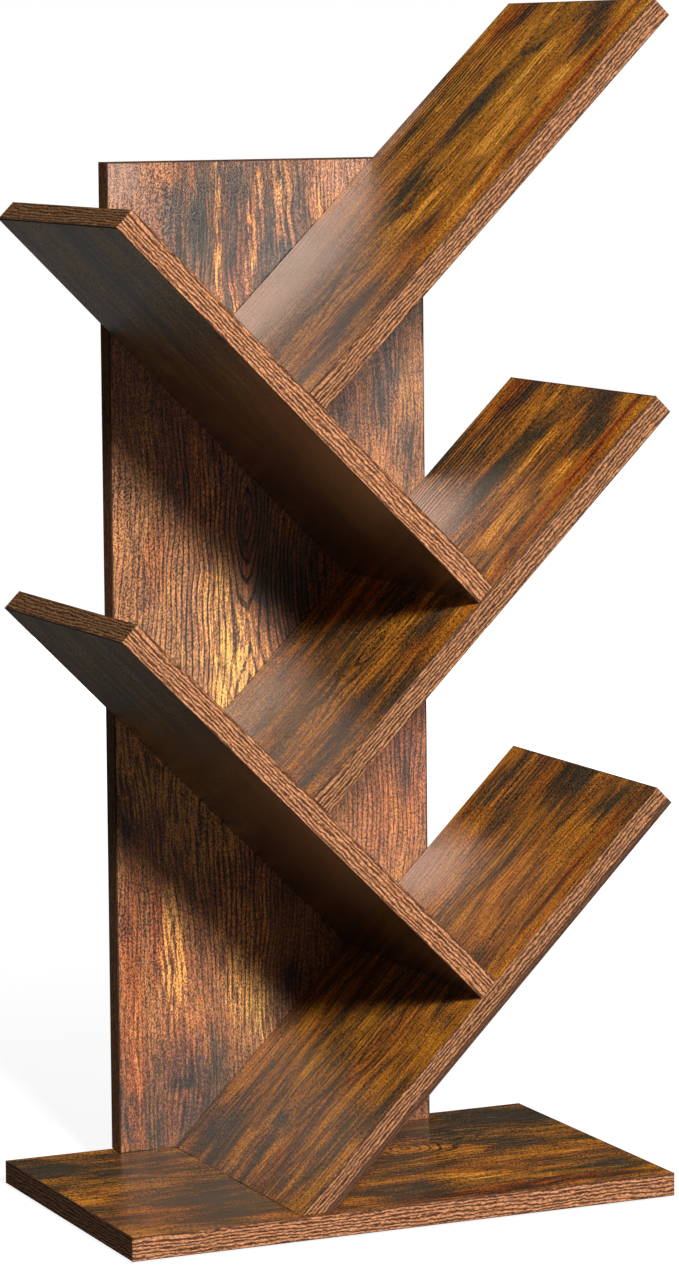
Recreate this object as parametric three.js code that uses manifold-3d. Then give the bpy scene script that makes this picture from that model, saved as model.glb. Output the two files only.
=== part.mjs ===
// Tree shaped bookshelf: five shelves zigzag up the front of a flat trunk that stands on a base board.
// Millimetres, with +X to the right, -Y to the front and +Z up. The origin is on the floor, under the
// middle of the bookshelf.
import * as THREE from "three";
import { mergeVertices } from "three/addons/utils/BufferGeometryUtils.js";
import Module from "manifold-3d";

const wasm = await Module();
wasm.setup();

// Boards, all cut from one thickness of melamine-faced particle board
const boardThickness = 15;
const baseWidth = 376;
const baseDepth = 225;
const trunkWidth = 226;
const trunkAboveTopJoint = 139; // the trunk's reach past the corner where the top shelf butts
const shelfCount = 5;
const shelfLength = 340;
const shelfSetback = 2.7; // from the base's front edge to the shelves' front edges
const shelfTilt = THREE.MathUtils.degToRad(45); // of the shelves that rise to the right
const jointShare = 0.5; // how far along a shelf the next one butts on it

// Clearances
const seatGap = 0.3; // between boards that rest on each other
const glueLine = 0.2; // between an edge band and its board
const boreClearance = 0.3; // all round a screw or dowel
const boreEndClearance = 1; // past the end of a screw or dowel
const cutOverrun = 1; // how far a cutter stands out of the face that it enters

// Edge bands
const bandThickness = 0.8;

// Furniture screws: flat head with a hex socket, smooth collar in the outer board, core in the inner one
const screwLength = 50;
const screwHeadDiameter = 10;
const screwHeadRim = 0.8;
const screwConeHeight = 1.6;
const screwCollarDiameter = 7;
const screwCollarLength = 12; // from the top of the head
const screwCoreDiameter = 5;
const screwTipLength = 4;
const screwTipDiameter = 2;
const screwSocketAcross = 4; // between opposite flats
const screwSocketDepth = 3.5;
const screwHeadSink = 0.4; // how far the head lies below the face
const screwEdgeMargin = 15; // from the trunk's edges to a shelf screw's axis
const shelfScrewShares = [0.15, 0.85]; // of the stretch of a shelf that lies behind the trunk's outline
const baseScrewShares = [0.2, 0.8]; // of the trunk's width

// Wooden dowels at the butt joints
const dowelDiameter = 8;
const dowelLength = 30;
const dowelInFace = 10; // how deep it sits in the lower shelf's face
const dowelChamfer = 1;
const dowelShares = [0.25, 0.75]; // of the shelf's depth

// Stick-on foot pads
const padDiameter = 20;
const padThickness = 2;
const padInset = 10; // from the base's edges to the pad's rim

// Facets round a circle, and the sides of the screws' sockets
const roundSides = 20;
const socketSides = 6;

// Levels and planes that several pieces share
const baseBottom = padThickness;
const baseTop = baseBottom + boardThickness;
const trunkBottom = baseTop + seatGap;
const backPlane = baseDepth / 2;
const trunkFront = backPlane - boardThickness;
const shelfBack = trunkFront - seatGap;
const shelfFront = shelfSetback - backPlane;
const shelfDepth = shelfBack - shelfFront;
const bandAllowance = bandThickness + glueLine;

// Finishes, one material for each mesh
const finishes = {
  laminate: { color: 0x6f4426, roughness: 0.42, metalness: 0 },
  band: { color: 0xa86a48, roughness: 0.6, metalness: 0 },
  screw: { color: 0xb9bcc0, roughness: 0.3, metalness: 1 },
  dowel: { color: 0xd9b98a, roughness: 0.8, metalness: 0 },
  pad: { color: 0x1d1d1f, roughness: 0.9, metalness: 0 },
};

function named(name, finish, geometry) {
  const mesh = new THREE.Mesh(geometry, new THREE.MeshStandardMaterial(finishes[finish]));
  mesh.name = name;
  return mesh;
}

// Cuts, made on closed meshes whose corners are merged
function toSolid(geometry) {
  const bare = new THREE.BufferGeometry();
  bare.setAttribute("position", geometry.getAttribute("position"));
  bare.setIndex(geometry.index);
  const merged = mergeVertices(bare);
  const vertProperties = new Float32Array(merged.getAttribute("position").array);
  const triVerts = new Uint32Array(merged.index.array);
  return new wasm.Manifold(new wasm.Mesh({ numProp: 3, vertProperties, triVerts }));
}

function toGeometry(solid) {
  const { vertProperties, triVerts } = solid.getMesh();
  const geometry = new THREE.BufferGeometry();
  geometry.setAttribute("position", new THREE.Float32BufferAttribute(vertProperties, 3));
  geometry.setIndex(new THREE.Uint32BufferAttribute(triVerts, 1));
  const faceted = geometry.toNonIndexed();
  faceted.computeVertexNormals();
  return faceted;
}

function cut(geometry, cutters) {
  if (cutters.length === 0) return geometry;
  const left = cutters.reduce((solid, cutter) => solid.subtract(toSolid(cutter)), toSolid(geometry));
  return toGeometry(left);
}

// A board or strip: an outline in the XZ plane, carried from the plane y = back to the plane y = front
function plank(outline, back, front) {
  const shape = new THREE.Shape(outline.map(([x, z]) => new THREE.Vector2(x, z)));
  const geometry = new THREE.ExtrudeGeometry(shape, { depth: back - front, bevelEnabled: false });
  return geometry.rotateX(Math.PI / 2).translate(0, back, 0);
}

function rectangle(left, bottom, right, top) {
  return [
    [left, bottom],
    [right, bottom],
    [right, top],
    [left, top],
  ];
}

// Round pieces: a half profile of [radius, height] points turned about the Y axis
function turned(profile) {
  const points = profile.map(([radius, height]) => new THREE.Vector2(radius, height));
  return new THREE.LatheGeometry(points, roundSides);
}

// The screw lies along -Y with its head's top at y = 0. Grown by a clearance it is its own bore cutter.
function screwProfile(grow, above) {
  const head = screwHeadDiameter / 2 + grow;
  const collar = screwCollarDiameter / 2 + grow;
  const core = screwCoreDiameter / 2 + grow;
  const tip = screwTipDiameter / 2 + grow;
  const end = screwLength + (grow > 0 ? boreEndClearance : 0);
  return [
    [0, -end],
    [tip, -end],
    [core, screwTipLength - end],
    [core, -screwCollarLength],
    [collar, -screwCollarLength],
    [collar, -screwHeadRim - screwConeHeight],
    [head, -screwHeadRim],
    [head, above],
    [0, above],
  ];
}

function screwGeometry() {
  const corner = screwSocketAcross / 2 / Math.cos(Math.PI / socketSides);
  const socket = new THREE.CylinderGeometry(corner, corner, screwSocketDepth + cutOverrun, socketSides);
  socket.translate(0, (cutOverrun - screwSocketDepth) / 2, 0);
  return cut(turned(screwProfile(0, 0)), [socket]);
}

function screwBore() {
  return turned(screwProfile(boreClearance, screwHeadSink + cutOverrun));
}

// The dowel's middle is at the origin, along the Y axis
function dowelGeometry() {
  const radius = dowelDiameter / 2;
  const half = dowelLength / 2;
  return turned([
    [0, -half],
    [radius - dowelChamfer, -half],
    [radius, dowelChamfer - half],
    [radius, half - dowelChamfer],
    [radius - dowelChamfer, half],
    [0, half],
  ]);
}

function dowelBore() {
  const radius = dowelDiameter / 2 + boreClearance;
  const half = dowelLength / 2 + boreEndClearance;
  return turned([
    [0, -half],
    [radius, -half],
    [radius, half],
    [0, half],
  ]);
}

// The zigzag's own frame, which every shelf, band and dowel is laid out in: p runs up to the right along
// the odd shelves and q up to the left along the even ones. The frame turns by shelfTilt about Y.
const toeSetback = boardThickness / Math.tan(shelfTilt);

// along is where a shelf starts on its own axis, and across is where its lower face lies on the other
function layOutShelves() {
  const shelves = [{ level: 1, risesRight: true, along: toeSetback, across: -boardThickness }];
  while (shelves.length < shelfCount) {
    const below = shelves[shelves.length - 1];
    shelves.push({
      level: below.level + 1,
      risesRight: !below.risesRight,
      along: below.across + boardThickness,
      across: below.along + jointShare * (shelfLength - boardThickness),
    });
  }
  return shelves;
}

const shelves = layOutShelves();

// Turns a place on a shelf, along and across it, into the zigzag's p and q
function placeOn(shelf, along, across) {
  return shelf.risesRight ? [along, across] : [across, along];
}

// The shelf's section between two places along it. The lowest one's toe is mitred to lie flat.
function shelfSection(shelf, from, to) {
  const low = shelf.across;
  const high = shelf.across + boardThickness;
  const toe = shelf.level === 1 ? toeSetback : 0;
  const corners = [
    [from, low],
    [to, low],
    [to, high],
    [from - toe, high],
  ];
  return corners.map(([along, across]) => placeOn(shelf, along, across));
}

function zigzagToWorldX([p, q]) {
  return p * Math.cos(shelfTilt) - q * Math.sin(shelfTilt);
}

function zigzagToWorldZ([p, q]) {
  return p * Math.sin(shelfTilt) + q * Math.cos(shelfTilt);
}

// The zigzag stands so that it reaches equally far to the left and to the right
function zigzagCentre() {
  const sections = shelves.map((shelf) => shelfSection(shelf, shelf.along, shelf.along + shelfLength));
  const reach = sections.flat().map(zigzagToWorldX);
  return (Math.min(...reach) + Math.max(...reach)) / 2;
}

const toeX = -zigzagCentre();
const toeZ = baseTop + seatGap;

// The trunk ends above the inner corner between the two highest shelves
function topJointHeight() {
  const top = shelves[shelves.length - 1];
  return toeZ + zigzagToWorldZ(placeOn(top, top.along, top.across + boardThickness));
}

const trunkTop = topJointHeight() + trunkAboveTopJoint;

// Screws into a shelf's back edge. The shelf's middle line is clipped to the trunk's outline less a margin.
function clipToTrunk(shelf) {
  const middle = shelf.across + boardThickness / 2;
  const start = placeOn(shelf, shelf.along, middle);
  const end = placeOn(shelf, shelf.along + shelfLength, middle);
  const side = trunkWidth / 2 - screwEdgeMargin;
  const bottom = baseTop + screwEdgeMargin;
  const top = trunkTop - screwEdgeMargin;
  const ranges = [
    [toeX + zigzagToWorldX(start), toeX + zigzagToWorldX(end), -side, side],
    [toeZ + zigzagToWorldZ(start), toeZ + zigzagToWorldZ(end), bottom, top],
  ];
  let first = 0;
  let last = 1;
  for (const [a, b, low, high] of ranges) {
    const [enter, leave] = [(low - a) / (b - a), (high - a) / (b - a)].sort((one, other) => one - other);
    first = Math.max(first, enter);
    last = Math.min(last, leave);
  }
  return [first, last];
}

function shelfScrewPlaces(shelf) {
  const [first, last] = clipToTrunk(shelf);
  return shelfScrewShares.map((share) => {
    const along = shelf.along + shelfLength * (first + share * (last - first));
    return placeOn(shelf, along, shelf.across + boardThickness / 2);
  });
}

const screwHeadY = backPlane - screwHeadSink;

function shelfScrewBores(shelf) {
  return shelfScrewPlaces(shelf).map(([p, q]) => screwBore().translate(p, screwHeadY, q));
}

// Dowels stand square in the lower shelf's face and run into the upper shelf's end
function dowelPlaces(upper) {
  const middleAlong = upper.along - dowelInFace + dowelLength / 2;
  const [p, q] = placeOn(upper, middleAlong, upper.across + boardThickness / 2);
  return dowelShares.map((share) => [p, shelfBack - share * shelfDepth, q]);
}

function alongShelf(shelf, geometry) {
  return shelf.risesRight ? geometry.rotateZ(Math.PI / 2) : geometry.rotateX(Math.PI / 2);
}

function dowelBores(upper) {
  return dowelPlaces(upper).map((place) => alongShelf(upper, dowelBore()).translate(...place));
}

// One shelf: its board, the bands along its front and back edges and the band on its free end
function buildShelf(shelf) {
  const name = `shelf_${shelf.level}`;
  const from = shelf.level === 1 ? shelf.along : shelf.along + seatGap;
  const end = shelf.along + shelfLength;
  const above = shelves[shelf.level];
  const screwBores = shelfScrewBores(shelf);
  const joints = [shelf.level > 1 ? shelf : null, above ?? null].filter(Boolean);
  const whole = shelfSection(shelf, from, end);
  const core = shelfSection(shelf, from, end - bandAllowance);
  const endStrip = rectangleOn(shelf, end - bandThickness, end);
  const coreBack = shelfBack - bandAllowance;
  const coreFront = shelfFront + bandAllowance;
  const cutters = [...screwBores, ...joints.flatMap(dowelBores)];
  return [
    named(name, "laminate", cut(plank(core, coreBack, coreFront), cutters)),
    named(`${name}_front_band`, "band", plank(whole, shelfFront + bandThickness, shelfFront)),
    named(`${name}_back_band`, "band", cut(plank(whole, shelfBack, shelfBack - bandThickness), screwBores)),
    named(`${name}_end_band`, "band", plank(endStrip, coreBack, coreFront)),
  ];
}

// A strip across the whole thickness of a shelf, square at both ends
function rectangleOn(shelf, from, to) {
  const low = placeOn(shelf, from, shelf.across);
  const high = placeOn(shelf, to, shelf.across + boardThickness);
  return rectangle(...low, ...high);
}

function buildShelfScrews(shelf) {
  return shelfScrewPlaces(shelf).map(([p, q], index) => {
    const screw = named(`shelf_${shelf.level}_screw_${index + 1}`, "screw", screwGeometry());
    screw.position.set(p, screwHeadY, q);
    return screw;
  });
}

function buildDowels(upper) {
  return dowelPlaces(upper).map((place, index) => {
    const name = `joint_${upper.level - 1}_dowel_${index + 1}`;
    const dowel = named(name, "dowel", alongShelf(upper, dowelGeometry()));
    dowel.position.set(...place);
    return dowel;
  });
}

function buildZigzag() {
  const zigzag = new THREE.Group();
  zigzag.add(...shelves.flatMap(buildShelf));
  zigzag.add(...shelves.slice(1).flatMap(buildDowels));
  zigzag.add(...shelves.flatMap(buildShelfScrews));
  zigzag.rotation.y = -shelfTilt;
  zigzag.position.set(toeX, 0, toeZ);
  return zigzag;
}

// The screws that hold the trunk, up through the base
const baseScrewPlaces = baseScrewShares.map((share) => [
  (share - 1 / 2) * trunkWidth,
  backPlane - boardThickness / 2,
  baseBottom + screwHeadSink,
]);

function baseScrewBores() {
  return baseScrewPlaces.map((place) => screwBore().rotateX(-Math.PI / 2).translate(...place));
}

function buildBaseScrews() {
  return baseScrewPlaces.map((place, index) => {
    const screw = named(`base_screw_${index + 1}`, "screw", screwGeometry().rotateX(-Math.PI / 2));
    screw.position.set(...place);
    return screw;
  });
}

// The trunk: board, side bands over its whole height and a top band between them
function buildTrunk() {
  const right = trunkWidth / 2;
  const coreRight = right - bandAllowance;
  const coreTop = trunkTop - bandAllowance;
  const throughBores = shelves.flatMap(shelfScrewPlaces).map((place) => {
    return screwBore().translate(toeX + zigzagToWorldX(place), screwHeadY, toeZ + zigzagToWorldZ(place));
  });
  const strip = (outline) => plank(outline, backPlane, trunkFront);
  const core = strip(rectangle(-coreRight, trunkBottom, coreRight, coreTop));
  const left = rectangle(-right, trunkBottom, bandThickness - right, trunkTop);
  const far = rectangle(right - bandThickness, trunkBottom, right, trunkTop);
  const top = rectangle(-coreRight, trunkTop - bandThickness, coreRight, trunkTop);
  return [
    named("trunk_panel", "laminate", cut(core, [...throughBores, ...baseScrewBores()])),
    named("trunk_left_band", "band", strip(left)),
    named("trunk_right_band", "band", strip(far)),
    named("trunk_top_band", "band", strip(top)),
  ];
}

// The base: board, front and back bands over its whole width and end bands between them
function buildBase() {
  const right = baseWidth / 2;
  const coreRight = right - bandAllowance;
  const coreBack = backPlane - bandAllowance;
  const whole = rectangle(-right, baseBottom, right, baseTop);
  const core = plank(rectangle(-coreRight, baseBottom, coreRight, baseTop), coreBack, -coreBack);
  const left = rectangle(-right, baseBottom, bandThickness - right, baseTop);
  const far = rectangle(right - bandThickness, baseBottom, right, baseTop);
  return [
    named("base_board", "laminate", cut(core, baseScrewBores())),
    named("base_front_band", "band", plank(whole, bandThickness - backPlane, -backPlane)),
    named("base_back_band", "band", plank(whole, backPlane, backPlane - bandThickness)),
    named("base_left_band", "band", plank(left, coreBack, -coreBack)),
    named("base_right_band", "band", plank(far, coreBack, -coreBack)),
  ];
}

// Foot pads under the base's four corners, clear of its bands and screws
function buildPads() {
  const radius = padDiameter / 2;
  const x = baseWidth / 2 - padInset - radius;
  const y = backPlane - padInset - radius;
  const corners = { front_left: [-x, -y], front_right: [x, -y], back_left: [-x, y], back_right: [x, y] };
  return Object.entries(corners).map(([corner, [padX, padY]]) => {
    const disc = new THREE.CylinderGeometry(radius, radius, padThickness, roundSides);
    disc.translate(0, padThickness / 2, 0).rotateX(Math.PI / 2);
    const pad = named(`foot_pad_${corner}`, "pad", disc);
    pad.position.set(padX, padY, 0);
    return pad;
  });
}

const bookshelf = new THREE.Group();
bookshelf.name = "tree_bookshelf";
bookshelf.add(...buildPads(), ...buildBase(), ...buildTrunk(), ...buildBaseScrews(), buildZigzag());

export default bookshelf;
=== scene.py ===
from math import atan2, cos, pi, radians, sqrt

import bmesh
import bpy
from mathutils import Matrix, Vector


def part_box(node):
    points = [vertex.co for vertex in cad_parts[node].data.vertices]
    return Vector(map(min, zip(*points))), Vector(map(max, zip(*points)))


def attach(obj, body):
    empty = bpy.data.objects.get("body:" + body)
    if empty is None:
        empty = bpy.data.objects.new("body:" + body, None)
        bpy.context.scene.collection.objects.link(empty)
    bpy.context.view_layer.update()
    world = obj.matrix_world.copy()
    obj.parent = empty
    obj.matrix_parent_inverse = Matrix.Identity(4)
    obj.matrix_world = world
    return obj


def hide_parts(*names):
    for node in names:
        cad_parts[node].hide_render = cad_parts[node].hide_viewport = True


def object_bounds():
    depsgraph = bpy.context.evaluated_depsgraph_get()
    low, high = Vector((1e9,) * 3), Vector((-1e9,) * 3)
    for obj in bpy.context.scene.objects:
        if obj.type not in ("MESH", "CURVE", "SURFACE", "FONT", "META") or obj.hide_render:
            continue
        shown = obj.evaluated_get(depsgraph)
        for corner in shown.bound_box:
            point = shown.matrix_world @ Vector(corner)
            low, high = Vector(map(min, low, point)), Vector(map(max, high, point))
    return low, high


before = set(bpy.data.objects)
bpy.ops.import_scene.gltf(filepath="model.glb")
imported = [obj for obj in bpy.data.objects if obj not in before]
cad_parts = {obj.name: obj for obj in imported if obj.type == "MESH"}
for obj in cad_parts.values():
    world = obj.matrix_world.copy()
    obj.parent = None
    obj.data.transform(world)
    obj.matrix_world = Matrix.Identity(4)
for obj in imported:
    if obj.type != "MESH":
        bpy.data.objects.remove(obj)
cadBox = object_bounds()
print("Frame loaded:", len(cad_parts), "nodes")


def addObject(name, data):
    thing = bpy.data.objects.new(name, data)
    bpy.context.scene.collection.objects.link(thing)
    return thing


def meshOf(shape, name):
    mesh = bpy.data.meshes.new(name)
    shape.to_mesh(mesh)
    shape.free()
    return mesh


# Camera, at the photograph's viewing angle

photoCamera = {
    "place": (-1.2076, -2.7005, 0.7315),  # metres
    "turn": (-5.147, 0.545, -24.205),  # degrees of tilt, roll and heading
    "lens": 131.26,
    "sensor": 36,
    "shift": -0.122,
}


def placeCamera():
    data = bpy.data.cameras.new("photoCamera")
    data.lens = photoCamera["lens"]
    data.sensor_width = photoCamera["sensor"]
    data.shift_y = photoCamera["shift"]
    camera = addObject("photoCamera", data)
    tilt, roll, heading = (radians(angle) for angle in photoCamera["turn"])
    turn = Matrix.Rotation(heading, 4, "Z") @ Matrix.Rotation(tilt, 4, "X")
    turn = turn @ Matrix.Rotation(roll, 4, "Y")
    level = Matrix.Rotation(radians(90), 4, "X")  # a new camera looks straight down
    camera.matrix_world = Matrix.Translation(photoCamera["place"]) @ turn @ level
    bpy.context.scene.camera = camera


# Small helpers for node trees

def feed(tree, value, socket):
    if isinstance(value, bpy.types.NodeSocket):
        tree.links.new(value, socket)
    else:
        socket.default_value = value


def put(tree, kind, feeds, **settings):  # one node, its settings and what goes into it
    node = tree.nodes.new(kind)
    for name, value in settings.items():
        setattr(node, name, value)
    for socket, value in feeds.items():
        feed(tree, value, node.inputs[socket])
    return node


def calc(tree, operation, *values):
    return put(tree, "ShaderNodeMath", dict(enumerate(values)), operation=operation).outputs[0]


def calcVector(tree, operation, *values):
    node = put(tree, "ShaderNodeVectorMath", dict(enumerate(values)), operation=operation)
    return node.outputs["Vector"]


def spread(tree, value, start, end, low=0.0, high=1.0):  # low at start, high at end, eased between
    feeds = {"Value": value, "From Min": start, "From Max": end, "To Min": low, "To Max": high}
    return put(tree, "ShaderNodeMapRange", feeds, interpolation_type="SMOOTHSTEP").outputs[0]


def blendColour(tree, share, first, second, way="MIX"):
    feeds = {0: share, 6: first, 7: second}
    return put(tree, "ShaderNodeMix", feeds, data_type="RGBA", blend_type=way).outputs[2]


def noise(tree, place, cells, detail=2.0, roughness=0.5):
    stretched = calcVector(tree, "MULTIPLY", place, cells)
    feeds = {"Vector": stretched, "Scale": 1.0, "Detail": detail, "Roughness": roughness}
    return put(tree, "ShaderNodeTexNoise", feeds).outputs[0]


def axesOf(tree, vector):
    return put(tree, "ShaderNodeSeparateXYZ", {0: vector}).outputs


def lengthOf(tree, vector):
    return put(tree, "ShaderNodeVectorMath", {0: vector}, operation="LENGTH").outputs["Value"]


def lighten(tree, colour, level):
    evenly = put(tree, "ShaderNodeCombineXYZ", {0: level, 1: level, 2: level}).outputs[0]
    return calcVector(tree, "MULTIPLY", colour, evenly)


def objectPlace(tree):
    return put(tree, "ShaderNodeTexCoord", {}).outputs["Object"]


socketKinds = {"vector": "NodeSocketVector", "number": "NodeSocketFloat", "colour": "NodeSocketColor"}


def startGroup(name, takes, gives):
    group = bpy.data.node_groups.new(name, "ShaderNodeTree")
    for socket, kind in takes.items():
        group.interface.new_socket(socket, in_out="INPUT", socket_type=socketKinds[kind])
    for socket, kind in gives.items():
        group.interface.new_socket(socket, in_out="OUTPUT", socket_type=socketKinds[kind])
    taken = group.nodes.new("NodeGroupInput").outputs
    given = group.nodes.new("NodeGroupOutput").inputs
    return group, taken, given


def useGroup(tree, group, feeds):
    node = tree.nodes.new("ShaderNodeGroup")
    node.node_tree = group
    for socket, value in feeds.items():
        feed(tree, value, node.inputs[socket])
    return node.outputs


# Shared effects. A noise is held as its cells per metre along, across and through, detail and roughness

markCore = 0.2  # share of a mark's reach within which it has its full strength


def makeSoftMark():  # an oval blot with a soft rim
    takes = {"Vector": "vector", "Centre": "vector", "Reach": "vector"}
    group, taken, given = startGroup("softMark", takes, {"Mask": "number"})
    away = calcVector(group, "SUBTRACT", taken["Vector"], taken["Centre"])
    far = lengthOf(group, calcVector(group, "DIVIDE", away, taken["Reach"]))
    feed(group, spread(group, far, 1.0, markCore), given["Mask"])
    return group


ridgeShape = {
    "straightFrom": 2.2, "ovalWithin": 0.5,  # distances from the figure, in its own reaches
    "stray": ((5, 22, 2), 3, 0.55), "strayLines": 2.4,  # how many lines they stray
    "darkAt": -0.95, "clearAt": -0.3,  # heights of the wave
}


def makeRidges():  # thin dark lines along the board, that close into ovals round its figure
    size = ridgeShape
    takes = {"Vector": "vector", "Centre": "vector", "Reach": "vector", "Pitch": "number"}
    group, taken, given = startGroup("ridges", takes, {"Ridge": "number"})
    away = calcVector(group, "SUBTRACT", taken["Vector"], taken["Centre"])
    far = lengthOf(group, calcVector(group, "DIVIDE", away, taken["Reach"]))
    straight = calc(group, "ABSOLUTE", axesOf(group, away)[1])
    oval = calc(group, "MULTIPLY", far, axesOf(group, taken["Reach"])[1])
    near = spread(group, far, size["straightFrom"], size["ovalWithin"])
    bow = put(group, "ShaderNodeMix", {0: near, 2: straight, 3: oval}).outputs[0]
    turns = calc(group, "DIVIDE", bow, taken["Pitch"])
    stray = noise(group, taken["Vector"], *size["stray"])
    turns = calc(group, "ADD", turns, calc(group, "MULTIPLY", stray, size["strayLines"]))
    wave = calc(group, "SINE", calc(group, "MULTIPLY", turns, 2 * pi))
    feed(group, spread(group, wave, size["darkAt"], size["clearAt"]), given["Ridge"])
    return group


grainShape = {
    "squash": (1, 1, 16),  # the grain changes quickly through the board, so that its faces differ
    "sway": ((6, 14, 2), 2), "swayAcross": 0.035,  # metres
    "ruffle": ((25, 70, 2), 2), "ruffleAcross": 0.003, "ruffleAlong": 0.01,
    "clouds": ((6, 18, 2), 3, 0.55), "cloudShare": 0.9,
    "blotches": ((18, 70, 2), 4, 0.52), "blotchShare": 1.6,
    "darker": 0.73,  # brings the mean tone to about a half
    "streaks": ((3, 75, 2), 3, 0.55), "hues": ((5, 24, 2), 2),
    "fibres": ((45, 560, 2), 3, 0.7), "fibreEnds": (0.4, 0.6),  # the noise's values that become 0 and 1
    "specks": ((700, 1100, 2), 1, 0.6), "speckEnds": (0.38, 0.62),
    "ragged": ((35, 260, 2), 5, 0.68), "raggedEnds": (0.38, 0.58, 0.15, 1.0),  # these become .15 and 1
}


def makeGrain():  # the irregular values of the printed wood, in board coordinates
    size = grainShape
    gives = {name: "number" for name in ("Tone", "Streak", "Fibre", "Speck", "Ragged", "Hue")}
    group, taken, given = startGroup(
        "woodGrain", {"Vector": "vector", "Seed": "number"}, {"Bent": "vector", **gives})
    offset = put(group, "ShaderNodeCombineXYZ", {0: taken["Seed"], 1: taken["Seed"], 2: 0.0}).outputs[0]
    moved = calcVector(group, "ADD", taken["Vector"], offset)
    place = calcVector(group, "MULTIPLY", moved, size["squash"])
    sway = calc(group, "SUBTRACT", noise(group, place, *size["sway"]), 0.5)
    ruffle = calc(group, "SUBTRACT", noise(group, place, *size["ruffle"]), 0.5)
    across = calc(
        group, "ADD", calc(group, "MULTIPLY", sway, size["swayAcross"]),
        calc(group, "MULTIPLY", ruffle, size["ruffleAcross"]))
    along = calc(group, "MULTIPLY", ruffle, size["ruffleAlong"])
    bend = put(group, "ShaderNodeCombineXYZ", {0: along, 1: across, 2: 0.0}).outputs[0]
    bent = calcVector(group, "ADD", place, bend)
    feed(group, calcVector(group, "ADD", taken["Vector"], bend), given["Bent"])
    clouds, blotches = (noise(group, bent, *size[name]) for name in ("clouds", "blotches"))
    tone = calc(
        group, "ADD", calc(group, "MULTIPLY", clouds, size["cloudShare"]),
        calc(group, "MULTIPLY", blotches, size["blotchShare"]))
    feed(group, calc(group, "SUBTRACT", tone, size["darker"]), given["Tone"])
    streaks = noise(group, bent, *size["streaks"])
    feed(group, calc(group, "SUBTRACT", streaks, 0.5), given["Streak"])
    feed(group, noise(group, bent, *size["hues"]), given["Hue"])
    fibres = noise(group, bent, *size["fibres"])
    feed(group, spread(group, fibres, *size["fibreEnds"]), given["Fibre"])
    specks = noise(group, bent, *size["specks"])
    feed(group, spread(group, specks, *size["speckEnds"]), given["Speck"])
    ragged = noise(group, bent, *size["ragged"])
    feed(group, spread(group, ragged, *size["raggedEnds"]), given["Ragged"])
    return group


printShape = {
    "steps": {  # the tones at which each colour starts and has taken over
        "Brown": (-0.1, 0.2), "Rust": (0.15, 0.38), "Amber": (0.32, 0.6), "Gold": (0.6, 1.0)},
    "fibre": 0.15, "speck": 0.08, "ribs": 0.35,  # what the fine detail adds to the tone
    "glow": 0.28, "glint": 0.5,  # what a glow adds, and how much of it follows the fibres
    "stain": 0.6, "veil": 0.4,  # what a dark mark takes from the tone, and its share of the veil
    "clearRidge": 0.8,  # the ridge value that neither darkens nor lightens
    "olive": (0.75, 0.9, 0.8, 1), "oliveAt": (0.52, 0.68, 0.0, 0.5),  # from and to which hue, how much
    "red": (0.95, 0.6, 0.55, 1), "redAt": (0.46, 0.34, 0.0, 0.35),
    "weaveAt": (0.55, 0.2, 0.3, 1.0),  # light tones keep less of the weave than dark ones
    "fibreLight": 0.3, "speckLight": 0.9, "ribsLight": 0.9,  # what the fine detail does to brightness
    "paleAndSheenSmooth": (0.0, 0.9, 1.0, 0.25),  # and how much of it is left where the pale marks lie, which on the shelves are painted sheen
    "darkest": 0.1,  # the least brightness
    "speckRelief": 0.4,  # how far the specks stand out in the emboss
}


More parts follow.
